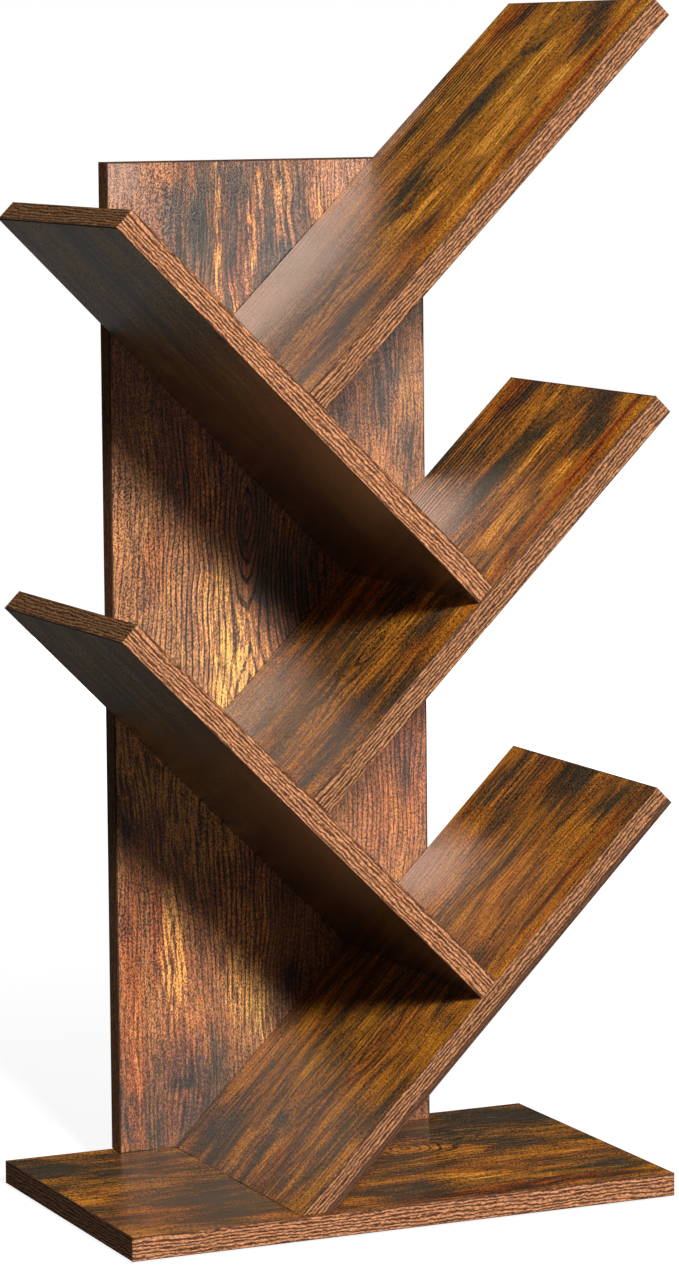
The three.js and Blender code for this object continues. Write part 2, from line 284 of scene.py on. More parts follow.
def makeWoodColour():  # from tone to printed colour and emboss
    size = printShape
    marks = ["Dark", "Glow", "Red", "Pale And Sheen", "Ridge", "Ridge Depth", "Weave", "Grit"]
    numbers = ["Tone", "Fibre", "Speck", "Ragged", "Hue"] + marks
    colours = ["Charcoal", "Brown", "Rust", "Amber", "Gold", "Pale And Sheen Tint", "Veil"]
    takes = {**{name: "number" for name in numbers}, **{name: "colour" for name in colours}}
    group, taken, given = startGroup("woodColour", takes, {"Color": "colour", "Height": "number"})

    def add(first, second):
        return calc(group, "ADD", first, second)

    def times(first, second):
        return calc(group, "MULTIPLY", first, second)

    def swing(name, reach):  # a value between 0 and 1 made to swing about nothing
        return times(calc(group, "SUBTRACT", taken[name], 0.5), reach)

    fine = add(swing("Fibre", size["fibre"]), swing("Speck", size["speck"]))
    ribs = times(calc(group, "SUBTRACT", taken["Ridge"], size["clearRidge"]), taken["Ridge Depth"])
    relief = add(fine, ribs)
    tone = add(add(taken["Tone"], fine), times(ribs, size["ribs"]))
    glint = add(swing("Fibre", size["glint"]), size["glow"])
    tone = calc(group, "MULTIPLY_ADD", taken["Glow"], glint, tone)
    stain = times(taken["Dark"], taken["Ragged"])
    tone = calc(group, "SUBTRACT", tone, times(stain, size["stain"]))
    colour = taken["Charcoal"]
    for name, (start, end) in size["steps"].items():
        colour = blendColour(group, spread(group, tone, start, end), colour, taken[name])
    colour = blendColour(group, times(stain, size["veil"]), colour, taken["Veil"])
    olive = spread(group, taken["Hue"], *size["oliveAt"])
    colour = blendColour(group, olive, colour, size["olive"], "MULTIPLY")
    reddened = spread(group, taken["Hue"], *size["redAt"])
    red = calc(group, "MAXIMUM", reddened, taken["Red"])
    colour = blendColour(group, red, colour, size["red"], "MULTIPLY")
    # Pale marks: on the shelves a painted sheen beside the trunk, a reflection painted into the colour
    colour = blendColour(group, taken["Pale And Sheen"], colour, taken["Pale And Sheen Tint"])
    woven = times(taken["Weave"], spread(group, tone, *size["weaveAt"]))
    grit = add(swing("Fibre", size["fibreLight"]), swing("Speck", size["speckLight"]))
    rough = spread(group, taken["Pale And Sheen"], *size["paleAndSheenSmooth"])
    level = calc(group, "MULTIPLY_ADD", times(grit, taken["Grit"]), rough, 1.0)
    level = add(add(level, woven), times(ribs, size["ribsLight"]))
    level = calc(group, "MAXIMUM", level, size["darkest"])
    feed(group, lighten(group, colour, level), given["Color"])
    feed(group, add(add(relief, swing("Speck", size["speckRelief"])), woven), given["Height"])
    return group


raggedWeave = ((300, 300, 2), 2)


def makeWeave():  # the press plate's fine cross hatch
    takes = {"Vector": "vector", "Pitch": "number"}
    group, taken, given = startGroup("pressWeave", takes, {"Weave": "number"})
    sides = axesOf(group, taken["Vector"])
    waves = []
    for side in (0, 1):
        turns = calc(group, "DIVIDE", sides[side], taken["Pitch"])
        waves.append(calc(group, "SINE", calc(group, "MULTIPLY", turns, 2 * pi)))
    ragged = calc(group, "SUBTRACT", noise(group, taken["Vector"], *raggedWeave), 0.5)
    both = calc(group, "ADD", calc(group, "MULTIPLY", waves[0], waves[1]), ragged)
    feed(group, both, given["Weave"])
    return group


bandShape = {
    "pitch": 0.0023,  # metres from strand to strand
    "sway": ((16, 90, 60), 3, 0.6), "swayReach": 3.0, "jag": ((240, 300, 60), 2, 0.6), "jagReach": 1.1,
    "tear": ((130, 800, 60), 3, 0.65), "tearReach": 4.0,
    "seamAt": (-0.2, -0.85), "seamShare": 0.95, "paleAt": (-0.1, 0.8),  # heights of the wave
    "grit": ((500, 1500, 700), 1, 0.6), "gritEnds": (0.35, 0.65, 0.6, 1.4),
    "trimAt": (0.0009, 0.0003, 0.0, 0.8),  # the dark line at each border, metres from it and strength
}


def makeBandPrint():  # edge band: wavy pale strands with dark broken seams between them
    size = bandShape
    colours = {name: "colour" for name in ("Base", "Dash", "Fleck")}
    takes = {"Vector": "vector", "Half Width": "number", **colours}
    group, taken, given = startGroup("bandPrint", takes, {"Color": "colour", "Height": "number"})
    place = taken["Vector"]
    side = axesOf(group, place)[1]
    sway = calc(group, "MULTIPLY", noise(group, place, *size["sway"]), size["swayReach"])
    jag = calc(group, "MULTIPLY", noise(group, place, *size["jag"]), size["jagReach"])
    bow = calc(group, "ADD", sway, jag)
    turns = calc(group, "ADD", calc(group, "DIVIDE", side, size["pitch"]), bow)
    wave = calc(group, "SINE", calc(group, "MULTIPLY", turns, 2 * pi))
    tear = calc(group, "SUBTRACT", noise(group, place, *size["tear"]), 0.5)
    strands = calc(group, "ADD", wave, calc(group, "MULTIPLY", tear, size["tearReach"]))
    seams = spread(group, strands, *size["seamAt"])
    pale = spread(group, strands, *size["paleAt"])
    grit = spread(group, noise(group, place, *size["grit"]), *size["gritEnds"])
    colour = blendColour(group, pale, taken["Base"], taken["Fleck"])
    colour = blendColour(group, calc(group, "MULTIPLY", seams, size["seamShare"]), colour, taken["Dash"])
    colour = lighten(group, colour, grit)
    fromEdge = calc(group, "SUBTRACT", taken["Half Width"], calc(group, "ABSOLUTE", side))
    trim = spread(group, fromEdge, *size["trimAt"])
    feed(group, blendColour(group, trim, colour, taken["Dash"]), given["Color"])
    feed(group, calc(group, "SUBTRACT", pale, seams), given["Height"])
    return group


softMark = makeSoftMark()
ridges = makeRidges()
woodGrain = makeGrain()
woodColour = makeWoodColour()
pressWeave = makeWeave()
bandPrint = makeBandPrint()
print("Node groups made")


# Boards. Each has the directions of its length, its width and its face

rising = (Vector((1, 0, 1)), Vector((0, 1, 0)), Vector((-1, 0, 1)))
falling = (Vector((1, 0, -1)), Vector((0, 1, 0)), Vector((1, 0, 1)))
upright = (Vector((0, 0, 1)), Vector((1, 0, 0)), Vector((0, 1, 0)))
flat = (Vector((1, 0, 0)), Vector((0, 1, 0)), Vector((0, 0, 1)))

boardThickness = 0.015
markDepth = 0.012  # how far a printed mark reaches through the board, so that the other face lacks it
linedDepth = 0.8  # how strong the dark lines are in a lined zone
embossDepth = 0.0004

# A mark is given in shares of the board: how far along and across, half length, half width, and strength
topShelfMarks = {
    "dark": [
        (0.50, 0.53, 0.12, 0.16, 1.1), (0.45, 0.46, 0.05, 0.10, 0.8), (0.71, 0.57, 0.17, 0.12, 0.9),
        (0.865, 0.55, 0.02, 0.06, 1.2), (0.88, 0.49, 0.02, 0.05, 0.8), (0.58, 0.22, 0.03, 0.04, 0.8),
        (0.74, 0.19, 0.02, 0.03, 0.7), (0.91, 0.21, 0.10, 0.13, 1.1), (0.99, 0.33, 0.09, 0.18, 1.0),
        (0.98, 0.80, 0.06, 0.04, 1.0), (0.42, 0.20, 0.06, 0.06, 0.6), (0.25, 0.04, 0.12, 0.04, 0.5),
        (0.72, 0.84, 0.30, 0.12, 0.6), (0.20, 0.22, 0.14, 0.10, 0.5),
        (0.30, 0.52, 0.06, 0.04, 0.4), (0.84, 0.065, 0.24, 0.025, 0.5), (0.55, 0.13, 0.05, 0.03, 0.5)],
    "red": [
        (0.82, 0.06, 0.34, 0.07, 1.0), (0.98, 0.88, 0.16, 0.14, 0.8), (0.60, 0.03, 0.3, 0.03, 0.8),
        (0.36, 0.14, 0.12, 0.14, 0.4), (0.86, 0.93, 0.10, 0.05, 0.4)],
    "shade": [
        (0.12, 0.50, 0.42, 0.75, 0.34), (0.80, 0.02, 0.36, 0.07, 0.2), (0.98, 0.60, 0.12, 0.60, 0.1)],
    # pale: painted sheen beside the trunk, a reflection painted into the print
    "pale": [(0.20, 1.00, 0.45, 0.60, 1.0), (0.62, 0.98, 0.22, 0.08, 0.35)],
    "lined": [
        (0.76, 0.86, 0.36, 0.19, 1.2), (0.31, 0.41, 0.34, 0.20, 0.3), (0.75, 0.38, 0.25, 0.10, 0.6)],
    "glow": [
        (0.66, 0.27, 0.13, 0.11, 1.0), (0.80, 0.17, 0.10, 0.05, 0.9), (0.45, 0.33, 0.09, 0.08, 0.5),
        (0.82, 0.42, 0.16, 0.05, 0.7), (0.97, 0.62, 0.08, 0.05, 0.7), (0.52, 0.08, 0.10, 0.04, 0.6),
        (0.52, 0.66, 0.12, 0.04, 0.5), (0.56, 0.52, 0.04, 0.03, 0.7), (0.49, 0.49, 0.02, 0.02, 0.7)],
    "figure": (0.345, 0.40, 0.12, 0.07),
}
lowShelfMarks = {
    "dark": [
        (0.125, 0.52, 0.022, 0.07, 1.0), (0.06, 0.85, 0.08, 0.10, 0.8), (0.28, 0.48, 0.06, 0.05, 0.4),
        (0.20, 0.20, 0.09, 0.06, 0.5), (0.02, 0.22, 0.04, 0.04, 0.7), (0.42, 0.10, 0.04, 0.07, 0.6),
        (0.90, 0.87, 0.12, 0.12, 0.9), (0.94, 0.19, 0.09, 0.09, 1.0), (0.95, 0.50, 0.10, 0.20, 0.7),
        (0.28, 0.52, 0.10, 0.08, 0.5), (0.10, 0.15, 0.10, 0.10, 0.5), (0.75, 0.50, 0.12, 0.06, 0.5),
        (0.57, 0.20, 0.03, 0.05, 0.5), (0.80, 0.06, 0.25, 0.025, 0.3)],
    "red": [(0.80, 0.06, 0.30, 0.05, 0.9), (0.95, 0.60, 0.08, 0.25, 0.6)],
    "glow": [
        (0.33, 0.85, 0.07, 0.12, 0.5), (0.20, 0.68, 0.12, 0.07, 0.5), (0.70, 0.38, 0.14, 0.08, 0.7),
        (0.85, 0.25, 0.08, 0.07, 0.5), (0.05, 0.43, 0.07, 0.05, 0.5)],
    "shade": [(0.00, 0.50, 0.28, 0.75, 0.14)],
    # pale: painted sheen beside the trunk, a reflection painted into the print
    "pale": [(0.69, 0.97, 0.15, 0.50, 0.8)],
    "lined": [
        (0.34, 0.38, 0.32, 0.24, 0.25), (0.68, 0.62, 0.25, 0.22, 0.4), (0.92, 0.80, 0.12, 0.08, 0.7)],
    "figure": (0.35, 0.38, 0.12, 0.07),
}
hiddenShelfMarks = {
    "dark": [
        (0.30, 0.60, 0.10, 0.12, 0.8), (0.70, 0.25, 0.12, 0.08, 0.7), (0.85, 0.75, 0.05, 0.07, 0.9)],
    "glow": [(0.50, 0.35, 0.14, 0.10, 0.8), (0.15, 0.25, 0.08, 0.08, 0.5)],
    "lined": [(0.45, 0.65, 0.25, 0.30, 0.8)],
    "figure": (0.45, 0.65, 0.14, 0.15),
}
baseMarks = {
    "dark": [
        (0.05, 0.82, 0.08, 0.15, 0.8), (0.055, 0.84, 0.014, 0.035, 1.0), (0.93, 0.17, 0.08, 0.13, 1.0),
        (0.95, 0.85, 0.16, 0.20, 0.8), (0.57, 0.20, 0.035, 0.06, 0.7), (0.52, 0.12, 0.09, 0.07, 0.4),
        (0.86, 0.55, 0.10, 0.10, 0.5), (0.78, 0.035, 0.24, 0.03, 0.4), (0.20, 0.30, 0.12, 0.14, 0.5),
        (0.80, 0.72, 0.22, 0.16, 0.6), (0.12, 0.70, 0.10, 0.10, 0.5), (0.62, 0.50, 0.10, 0.08, 0.4)],
    "shade": [
        (0.22, 0.45, 0.16, 0.80, 0.21), (0.88, 0.78, 0.34, 0.40, 0.1), (0.70, 0.02, 0.40, 0.08, 0.15)],
    "red": [(0.75, 0.06, 0.38, 0.07, 1.0), (0.30, 0.10, 0.25, 0.06, 0.5), (0.10, 0.20, 0.14, 0.20, 0.4)],
    "glow": [
        (0.68, 0.23, 0.10, 0.10, 1.0), (0.80, 0.13, 0.09, 0.06, 0.6), (0.90, 0.38, 0.07, 0.05, 0.5),
        (0.03, 0.50, 0.05, 0.10, 0.4)],
    "lined": [(0.66, 0.62, 0.2, 0.3, 0.6)],
    "figure": (0.66, 0.62, 0.10, 0.12),
}
trunkMarks = {
    "dark": [
        (0.09, 0.24, 0.05, 0.10, 0.6), (0.065, 0.18, 0.012, 0.04, 0.9), (0.19, 0.23, 0.05, 0.03, 0.4),
        (0.28, 0.58, 0.08, 0.12, 0.5), (0.16, 0.55, 0.03, 0.06, 0.7), (0.57, 0.56, 0.06, 0.16, 0.8),
        (0.64, 0.47, 0.06, 0.10, 0.5), (0.51, 0.60, 0.04, 0.12, 0.5), (0.94, 0.20, 0.12, 0.05, 0.45),
        (0.90, 0.54, 0.12, 0.07, 0.4), (0.98, 0.42, 0.05, 0.06, 0.4), (0.80, 0.88, 0.08, 0.05, 0.6),
        (0.70, 0.93, 0.05, 0.08, 0.5), (0.74, 0.84, 0.08, 0.05, 0.5), (0.36, 0.03, 0.10, 0.04, 0.4),
        (0.03, 0.30, 0.04, 0.14, 0.4), (0.44, 0.24, 0.07, 0.04, 0.4), (0.82, 0.76, 0.05, 0.10, 0.4),
        (0.66, 0.18, 0.05, 0.06, 0.5), (0.36, 0.92, 0.06, 0.05, 0.4), (0.62, 0.42, 0.06, 0.07, 0.5),
        (0.92, 0.27, 0.09, 0.04, 0.6), (0.95, 0.41, 0.09, 0.02, 0.8), (0.90, 0.51, 0.10, 0.03, 0.6)],
    "shade": [
        (0.92, 0.42, 0.24, 0.42, 0.26), (0.73, 0.50, 0.14, 0.40, 0.18), (0.58, 0.56, 0.10, 0.22, 0.2),
        (0.42, 0.55, 0.12, 0.12, 0.12), (0.04, 0.22, 0.10, 0.42, 0.30)],
    "glow": [
        (0.49, 0.36, 0.09, 0.16, 1.1), (0.20, 0.16, 0.10, 0.05, 1.6), (0.20, 0.38, 0.12, 0.12, 1.4),
        (0.13, 0.45, 0.06, 0.08, 0.8), (0.10, 0.04, 0.12, 0.04, 0.6), (0.53, 0.42, 0.05, 0.08, 0.7),
        (0.50, 0.22, 0.05, 0.04, 0.6), (0.56, 0.30, 0.06, 0.10, 0.6), (0.31, 0.40, 0.05, 0.10, 0.4),
        (0.93, 0.355, 0.13, 0.022, 1.5), (0.90, 0.46, 0.09, 0.022, 1.3), (0.95, 0.56, 0.09, 0.03, 0.9),
        (0.97, 0.49, 0.05, 0.02, 1.2), (0.84, 0.40, 0.06, 0.02, 1.2), (0.93, 0.66, 0.08, 0.04, 0.8),
        (0.94, 0.80, 0.10, 0.02, 0.6), (0.88, 0.28, 0.05, 0.03, 0.7), (0.72, 0.12, 0.06, 0.04, 0.5),
        # the first two marks on the next line are painted light in the band that the second shelf shades
        (0.40, 0.10, 0.10, 0.20, 1.6), (0.34, 0.28, 0.10, 0.20, 1.6), (0.68, 0.30, 0.08, 0.25, 0.6)],
    "pale": [
        (0.985, 0.04, 0.05, 0.11, 0.5), (0.95, 0.12, 0.06, 0.08, 0.2), (0.985, 0.75, 0.04, 0.15, 0.2)],
    "red": [
        (0.15, 0.04, 0.22, 0.07, 0.9), (0.38, 0.88, 0.18, 0.2, 0.6), (0.43, 0.13, 0.06, 0.10, 0.4),
        (0.22, 0.12, 0.08, 0.05, 0.7), (0.60, 0.13, 0.06, 0.06, 0.5), (0.92, 0.40, 0.1, 0.1, 0.4)],
    "lined": [
        (0.54, 0.38, 0.28, 0.45, 0.8), (0.24, 0.40, 0.18, 0.28, 0.6), (0.36, 0.85, 0.12, 0.2, 0.5)],
    "figure": (0.64, 0.42, 0.11, 0.08),
}

shelfTones = {
    "Charcoal": (0.055, 0.042, 0.025, 1), "Brown": (0.130, 0.062, 0.020, 1),
    "Rust": (0.30, 0.108, 0.020, 1), "Amber": (0.52, 0.190, 0.018, 1), "Gold": (0.90, 0.370, 0.045, 1),
    # the next line's first tone tints the painted sheen, the second is the dark marks' veil
    "Pale And Sheen Tint": (0.64, 0.44, 0.33, 1), "Veil": (0.10, 0.070, 0.042, 1),
}
trunkTones = {
    "Charcoal": (0.025, 0.021, 0.015, 1), "Brown": (0.080, 0.050, 0.030, 1),
    "Rust": (0.22, 0.082, 0.034, 1), "Amber": (0.40, 0.160, 0.055, 1), "Gold": (0.74, 0.360, 0.090, 1),
    "Pale And Sheen Tint": (0.38, 0.25, 0.20, 1), "Veil": (0.075, 0.060, 0.050, 1),
}

# Lift and contrast change the tones, the rest say how strong each detail is. Pitches are in metres
shelfLook = {
    "tones": shelfTones, "lift": 0.06, "contrast": 0.85, "grit": 1.3, "emboss": 0.25, "streak": 0.45,
    "ridge": 0.2, "pitch": 0.0050, "weave": 0.08, "weavePitch": 0.0019,
    "gloss": {"Roughness": 0.26, "IOR": 1.42},
}
fallingLook = {
    **shelfLook, "axes": falling, "lift": -0.06, "marks": hiddenShelfMarks,
    "below": {  # painted shade and sheen as tints of the face turned down (outer: a grey sheen, inner: dark shade towards the joint), and between which shares of the length they change
        "outer": (0.58, 0.95, 1.45, 1), "inner": (0.09, 0.12, 0.55, 1), "from": -0.5, "to": 0.3,
        "fade": 0.001},  # metres above and below the board's middle plane
    "gloss": {
        "Roughness": 0.26, "IOR": 1.75, "Coat Weight": 0.25, "Coat Roughness": 0.2, "Coat IOR": 1.5},
}
trunkLook = {
    "tones": trunkTones, "lift": -0.03, "contrast": 0.4, "grit": 1.3, "emboss": 0.4, "streak": 0.5,
    "ridge": 0.25, "pitch": 0.0032, "weave": 0.25, "weavePitch": 0.0019,
    "gloss": {"Roughness": 0.33, "IOR": 1.72},
}
boards = {
    "base_board": {**shelfLook, "axes": flat, "lift": -0.17, "seed": 3.1, "marks": baseMarks},
    "trunk_panel": {**trunkLook, "axes": upright, "seed": 7.7, "marks": trunkMarks},
    "shelf_1": {**shelfLook, "axes": rising, "lift": -0.18, "seed": 1.3, "marks": lowShelfMarks},
    "shelf_2": {**fallingLook, "seed": 5.9},
    "shelf_3": {
        **shelfLook, "axes": rising, "lift": -0.14, "seed": 2.6,
        "marks": {
            # pale: painted sheen beside the trunk, weaker than on the highest shelf
            **topShelfMarks, "pale": [(0.06, 0.90, 0.26, 0.40, 0.35), (0.62, 0.85, 0.15, 0.50, 0.8)],
            "shade": [(0.12, 0.50, 0.42, 0.75, 0.17), (0.78, 0.60, 0.20, 0.60, 0.08)]}},
    "shelf_4": {**fallingLook, "seed": 4.2},
    "shelf_5": {**shelfLook, "axes": rising, "seed": 2.6, "marks": topShelfMarks},
}


def frameOf(node, axes):  # a node's middle, its turn, and its length and width
    low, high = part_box(node)
    span = high - low
    along, across, normal = (axis.normalized() for axis in axes)
    turn = Matrix((along, across, normal)).transposed()
    sizes = []
    for axis in (along, across):
        if axis.x and axis.z:  # a sloping board's box is as wide as its length and thickness turned
            sizes.append(span.x * sqrt(2) - boardThickness)
        else:
            sizes.append(sum(abs(part * side) for part, side in zip(axis, span)))
    return (low + high) / 2, turn, sizes


def localPlace(tree, middle, turn):  # object coordinates, centred on a piece and turned to lie along it
    feeds = {"Vector": objectPlace(tree), "Location": middle, "Rotation": turn.to_euler()}
    return put(tree, "ShaderNodeMapping", feeds, vector_type="TEXTURE").outputs[0]


def strongest(tree, masks):
    total = 0.0
    for mask in masks:
        total = calc(tree, "MAXIMUM", total, mask)
    return total


def startMaterial(name):
    material = bpy.data.materials.new(name)
    material.use_nodes = True
    material.node_tree.nodes.clear()
    return material, material.node_tree


def finishMaterial(tree, shader):
    put(tree, "ShaderNodeOutputMaterial", {"Surface": shader.outputs[0]})


def paint(tree, feeds):
    finishMaterial(tree, put(tree, "ShaderNodeBsdfPrincipled", feeds))


def emboss(tree, height, strength, distance):
    feeds = {"Height": height, "Strength": strength, "Distance": distance}
    return put(tree, "ShaderNodeBump", feeds).outputs[0]


def laminate(name, board):
    material, tree = startMaterial(name + "Laminate")
    middle, turn, (length, width) = frameOf(name, board["axes"])
    place = localPlace(tree, middle, turn)
    grain = useGroup(tree, woodGrain, {"Vector": place, "Seed": board["seed"]})
    face = -boardThickness / 2 if name == "trunk_panel" else boardThickness / 2

    def onBoard(along, across):
        return ((along - 0.5) * length, (across - 0.5) * width, face)

    def mark(shares):
        along, across, long, wide, strength = shares
        mask = useGroup(tree, softMark, {
            "Vector": grain["Bent"], "Centre": onBoard(along, across),
            "Reach": (long * length, wide * width, markDepth)})["Mask"]
        return calc(tree, "MULTIPLY", mask, strength)

    blots = {}
    for kind in ("dark", "shade", "glow", "red", "lined", "pale"):
        blots[kind] = strongest(tree, [mark(shares) for shares in board["marks"].get(kind, [])])
    along, across, long, wide = board["marks"]["figure"]
    ridge = useGroup(tree, ridges, {
        "Vector": grain["Bent"], "Centre": onBoard(along, across),
        "Reach": (long * length, wide * width, 1), "Pitch": board["pitch"]})["Ridge"]
    depth = calc(tree, "MULTIPLY_ADD", blots["lined"], linedDepth, board["ridge"])
    weave = useGroup(tree, pressWeave, {"Vector": place, "Pitch": board["weavePitch"]})["Weave"]
    tone = calc(tree, "ADD", grain["Tone"], calc(tree, "MULTIPLY", grain["Streak"], board["streak"]))
    level = 0.5 * (1 - board["contrast"]) + board["lift"]
    tone = calc(tree, "MULTIPLY_ADD", tone, board["contrast"], level)
    tone = calc(tree, "SUBTRACT", tone, blots["shade"])
    wood = useGroup(tree, woodColour, {
        "Tone": tone, **{name: grain[name] for name in ("Fibre", "Speck", "Ragged", "Hue")},
        "Dark": blots["dark"], "Glow": blots["glow"], "Red": blots["red"], "Pale And Sheen": blots["pale"],
        "Ridge": ridge, "Ridge Depth": depth, "Weave": calc(tree, "MULTIPLY", weave, board["weave"]),
        "Grit": board["grit"], **board["tones"]})
    colour = wood["Color"]
    # The face turned down gets painted shade that darkens inward towards the joint, and a painted grey
    # sheen at its outer end
    if "below" in board:
        below = board["below"]
        along, _, up = axesOf(tree, place)
        down = spread(tree, up, below["fade"], -below["fade"])
        inward = spread(tree, along, below["from"] * length, below["to"] * length)
        shadeTint = blendColour(tree, inward, below["outer"], below["inner"])
        colour = blendColour(tree, down, colour, calcVector(tree, "MULTIPLY", colour, shadeTint))
    relief = emboss(tree, wood["Height"], board["emboss"], embossDepth)
    paint(tree, {"Base Color": colour, "Normal": relief, **board["gloss"]})
    return material


def setFinish(piece, material):
    piece.data.materials.clear()
    piece.data.materials.append(material)


for name, board in boards.items():
    setFinish(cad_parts[name], laminate(name, board))
print("Boards finished")


# Edge bands: each CAD band gets a stand-in that closes the glue line and has eased outer edges

edging = {
    "glueLine": 0.0002, "ease": 0.00045, "easeSteps": 3,  # metres
    "rimLength": 0.005, "rimAngle": 30,  # a rim edge is longer and sharper than this
    "sameCorner": 0.00001, "flat": 1,  # corners closer and faces flatter than this are joined first
    "emboss": (0.3, 0.0003), "gloss": {"Roughness": 0.7, "IOR": 1.35},
}
paleBand = {
    "Base": (0.26, 0.095, 0.034, 1), "Dash": (0.06, 0.020, 0.008, 1), "Fleck": (0.50, 0.215, 0.095, 1)}
midBand = {
    "Base": (0.20, 0.075, 0.026, 1), "Dash": (0.05, 0.018, 0.008, 1), "Fleck": (0.40, 0.175, 0.072, 1)}
darkBand = {
    "Base": (0.170, 0.070, 0.026, 1), "Dash": (0.040, 0.018, 0.010, 1), "Fleck": (0.30, 0.140, 0.050, 1)}

acrossRising = (Vector((1, 0, 1)), Vector((-1, 0, 1)), Vector((0, -1, 0)))
acrossFalling = (Vector((1, 0, -1)), Vector((1, 0, 1)), Vector((0, -1, 0)))
endRising = (Vector((0, 1, 0)), Vector((-1, 0, 1)), Vector((1, 0, 1)))
endFalling = (Vector((0, 1, 0)), Vector((-1, 0, -1)), Vector((-1, 0, 1)))


def bandList():  # each band's length, width and outward directions, and its tones
    bands = {
        "base_front_band": ((flat[0], flat[2], -flat[1]), paleBand),
        "base_back_band": ((flat[0], flat[2], flat[1]), paleBand),
        "base_left_band": ((flat[1], flat[2], -flat[0]), darkBand),
        "base_right_band": ((flat[1], flat[2], flat[0]), darkBand),
        "trunk_left_band": ((flat[2], flat[1], -flat[0]), darkBand),
        "trunk_right_band": ((flat[2], flat[1], flat[0]), darkBand),
        "trunk_top_band": ((flat[0], flat[1], flat[2]), darkBand),
    }
    for name, board in boards.items():
        if name.startswith("shelf"):
            climbs = board["axes"] is rising
            along, across, out = acrossRising if climbs else acrossFalling
            tones, endTones = (midBand, midBand) if climbs else (paleBand, darkBand)
            bands[name + "_front_band"] = ((along, across, out), tones)
            bands[name + "_back_band"] = ((along, across, -out), tones)
            bands[name + "_end_band"] = (endRising if climbs else endFalling, endTones)
    return bands


def bandMaterial(name, axes, tones):
    material, tree = startMaterial(name + "_print")
    low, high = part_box(name)
    along, across = (axis.normalized() for axis in axes[:2])
    turn = Matrix((along, across, along.cross(across))).transposed()
    place = localPlace(tree, (low + high) / 2, turn)
    printed = useGroup(tree, bandPrint, {"Vector": place, "Half Width": boardThickness / 2, **tones})
    relief = emboss(tree, printed["Height"], *edging["emboss"])
    paint(tree, {"Base Color": printed["Color"], "Normal": relief, **edging["gloss"]})
    return material


def addPiece(name, mesh, body="root"):
    piece = addObject(name, mesh)
    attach(piece, body)
    return piece


def easeEdges(shape, edges, offset, steps):
    bmesh.ops.bevel(
        shape, geom=edges, offset=offset, offset_type="OFFSET", segments=steps, profile=0.5,
        affect="EDGES", material=-1)


def easedBand(name, out):
    shape = bmesh.new()
    shape.from_mesh(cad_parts[name].data)
    bmesh.ops.remove_doubles(shape, verts=shape.verts, dist=edging["sameCorner"])
    bmesh.ops.dissolve_limit(
        shape, angle_limit=radians(edging["flat"]), verts=shape.verts, edges=shape.edges)
    out = out.normalized()
    heights = [corner.co.dot(out) for corner in shape.verts]
    middle = (min(heights) + max(heights)) / 2
    inner = [corner for corner in shape.verts if corner.co.dot(out) < middle]
    bmesh.ops.translate(shape, verts=inner, vec=-out * edging["glueLine"])
    sharp = radians(edging["rimAngle"])
    rim = [edge for edge in shape.edges if edge.calc_face_angle(0) > sharp]
    rim = [edge for edge in rim if edge.calc_length() > edging["rimLength"]]
    outer = [edge for edge in rim if all(corner not in inner for corner in edge.verts)]
    easeEdges(shape, outer, edging["ease"], edging["easeSteps"])
    bmesh.ops.recalc_face_normals(shape, faces=shape.faces)
    return meshOf(shape, name + "_edging")


for name, (axes, tones) in bandList().items():
    band = addPiece(name + "_edging", easedBand(name, axes[2]))
    setFinish(band, bandMaterial(name, axes, tones))
    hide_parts(name)
print("Edge bands made")


# Screws, dowels and pads

metalLook = {
    "mottle": ((400, 400, 400), 3), "dark": (0.50, 0.50, 0.49, 1), "light": (0.74, 0.74, 0.72, 1),
    "roughness": (0.3, 0.7, 0.22, 0.42),  # smooth where the mottle is under .3, rough above .7
}
beechLook = {
    "mottle": ((300, 300, 300), 3), "dark": (0.55, 0.36, 0.19, 1), "light": (0.74, 0.54, 0.33, 1),
    "roughness": 0.75,
}
foamLook = {
    "mottle": ((1500, 1500, 1500), 2), "dark": (0.008, 0.008, 0.009, 1),
    "light": (0.035, 0.035, 0.036, 1), "roughness": 0.9,
    "emboss": (0.6, 0.0003),
}


def mottled(name, look):
    material, tree = startMaterial(name)
    mottle = noise(tree, objectPlace(tree), *look["mottle"])
    return material, tree, mottle, blendColour(tree, mottle, look["dark"], look["light"])


def metalMaterial():
    material, tree, mottle, colour = mottled("zincPlate", metalLook)
    roughness = spread(tree, mottle, *metalLook["roughness"])
    paint(tree, {"Base Color": colour, "Roughness": roughness, "Metallic": 1.0})
    return material


def beechMaterial():
    material, tree, _, colour = mottled("beech", beechLook)
    paint(tree, {"Base Color": colour, "Roughness": beechLook["roughness"]})
    return material


def foamMaterial():
    material, tree, cells, colour = mottled("foam", foamLook)
    relief = emboss(tree, cells, *foamLook["emboss"])
    paint(tree, {"Base Color": colour, "Roughness": foamLook["roughness"], "Normal": relief})
    return material


screwShape = {  # metres, radii where round, heights down from the head's top
    "head": 0.005, "rounding": 0.0002, "bendShare": 0.3, "rim": 0.0008, "cone": 0.0016,
    "collar": 0.0035, "collarEnd": 0.012, "shoulder": 0.001, "core": 0.0020,
    "tipStart": 0.046, "tipEnd": 0.050, "tip": 0.0010,
    "threadGap": 0.0015, "threadSink": 0.0001, "crest": 0.0025, "crestShares": (0.45, 0.55),
    "pitch": 0.0030, "turns": 10, "threadSteps": 24,
    "socketHalf": 0.0020, "socketRingShare": 1.3, "socketDepth": 0.0035, "steps": 48,
}
dowelShape = {
    "radius": 0.004, "half": 0.015, "chamfer": 0.001, "fluteDepth": 0.0003, "fluteEvery": 4, "steps": 48,
    "lean": 45,  # degrees from upright
}
padShape = {"radius": 0.010, "thick": 0.002, "rounding": 0.0004, "roundSteps": 3, "steps": 48}
sameCorner = 0.000001
